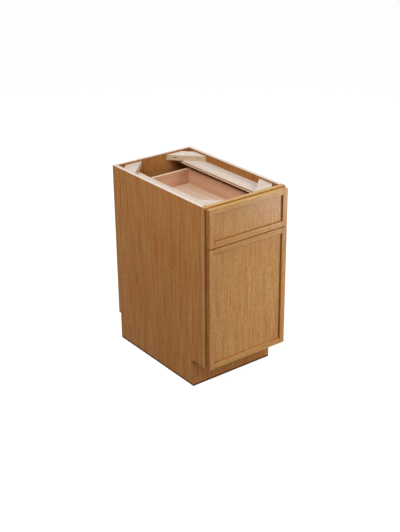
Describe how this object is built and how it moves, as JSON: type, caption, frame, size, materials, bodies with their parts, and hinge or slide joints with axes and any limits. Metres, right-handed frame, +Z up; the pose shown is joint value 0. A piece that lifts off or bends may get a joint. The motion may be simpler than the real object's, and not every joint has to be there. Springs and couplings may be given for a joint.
{
  "type": "kitchen base cabinet",
  "caption": "Face-frame kitchen base cabinet with a drawer over a hinged door, slim framed fronts, toe-kick recess, corner braces and an open top.",
  "frame": {"origin": "on the floor, under the middle of the cabinet's outside box", "axes": "+Z up, +Y from the door face to the back, +X to the right seen from the front"},
  "size_m": [0.381, 0.6116, 0.762],
  "materials": {
    "stained_wood": "satin honey stain",
    "raw_plywood": "raw sanded plywood",
    "drawer_wood": "clear satin lacquer",
    "drawer_bottom_ply": "clear satin lacquer",
    "slide_steel": "black coated",
    "bright_steel": "zinc plated",
    "hinge_steel": "nickel plated",
    "screw_steel": "zinc plated",
    "bumper_rubber": "clear soft rubber"
  },
  "bodies": {
    "carcass": {"left_side_panel": "stained_wood", "right_side_panel": "stained_wood", "back_panel": "stained_wood", "bottom_panel": "stained_wood", "toe_kick_board": "stained_wood", "left_frame_stile": "stained_wood", "right_frame_stile": "stained_wood", "top_frame_rail": "stained_wood", "middle_frame_rail": "stained_wood", "bottom_frame_rail": "stained_wood", "front_left_brace": "raw_plywood", "front_right_brace": "raw_plywood", "rear_left_brace": "raw_plywood", "rear_right_brace": "raw_plywood", "left_drawer_kicker": "raw_plywood", "right_drawer_kicker": "raw_plywood", "left_slide_cleat": "stained_wood", "right_slide_cleat": "stained_wood", "left_slide_outer_member": "slide_steel", "right_slide_outer_member": "slide_steel", "adjustable_shelf": "stained_wood", "shelf_pins": "bright_steel", "upper_hinge_arm": "hinge_steel", "lower_hinge_arm": "hinge_steel", "hinge_arm_screws": "screw_steel", "brace_screws": "screw_steel", "cleat_screws": "screw_steel", "slide_outer_screws": "screw_steel", "back_panel_screws": "screw_steel"},
    "slide_middle": {"left_slide_middle_member": "slide_steel", "right_slide_middle_member": "slide_steel", "outer_race_balls": "bright_steel", "inner_race_balls": "bright_steel"},
    "drawer": {"drawer_left_side": "drawer_wood", "drawer_right_side": "drawer_wood", "drawer_box_front": "drawer_wood", "drawer_box_back": "drawer_wood", "drawer_bottom": "drawer_bottom_ply", "drawer_front_left_stile": "stained_wood", "drawer_front_right_stile": "stained_wood", "drawer_front_top_rail": "stained_wood", "drawer_front_bottom_rail": "stained_wood", "drawer_front_panel": "stained_wood", "drawer_front_screws": "screw_steel", "drawer_front_bumpers": "bumper_rubber", "left_slide_inner_member": "slide_steel", "right_slide_inner_member": "slide_steel", "slide_inner_screws": "screw_steel"},
    "door": {"door_left_stile": "stained_wood", "door_right_stile": "stained_wood", "door_top_rail": "stained_wood", "door_bottom_rail": "stained_wood", "door_panel": "stained_wood", "upper_hinge_cup": "hinge_steel", "lower_hinge_cup": "hinge_steel", "hinge_pins": "hinge_steel", "hinge_cup_screws": "screw_steel", "door_bumpers": "bumper_rubber"}
  },
  "joints": [
    {"name": "drawer_travel", "type": "slide", "parent": "carcass", "child": "drawer", "axis": [0, -1, 0], "range_m": [0, 0.508]},
    {"name": "slide_middle_travel", "type": "slide", "parent": "carcass", "child": "slide_middle", "axis": [0, -1, 0], "range_m": [0, 0.254]},
    {"name": "door_swing", "type": "hinge", "parent": "carcass", "child": "door", "pos_m": [-0.17915, -0.29425, 0.3579], "axis": [0, 0, -1], "range_deg": [0, 105]}
  ],
  "couplings": [
    {"joint": "slide_middle_travel", "follows": "drawer_travel", "ratio": 0.5}
  ]
}
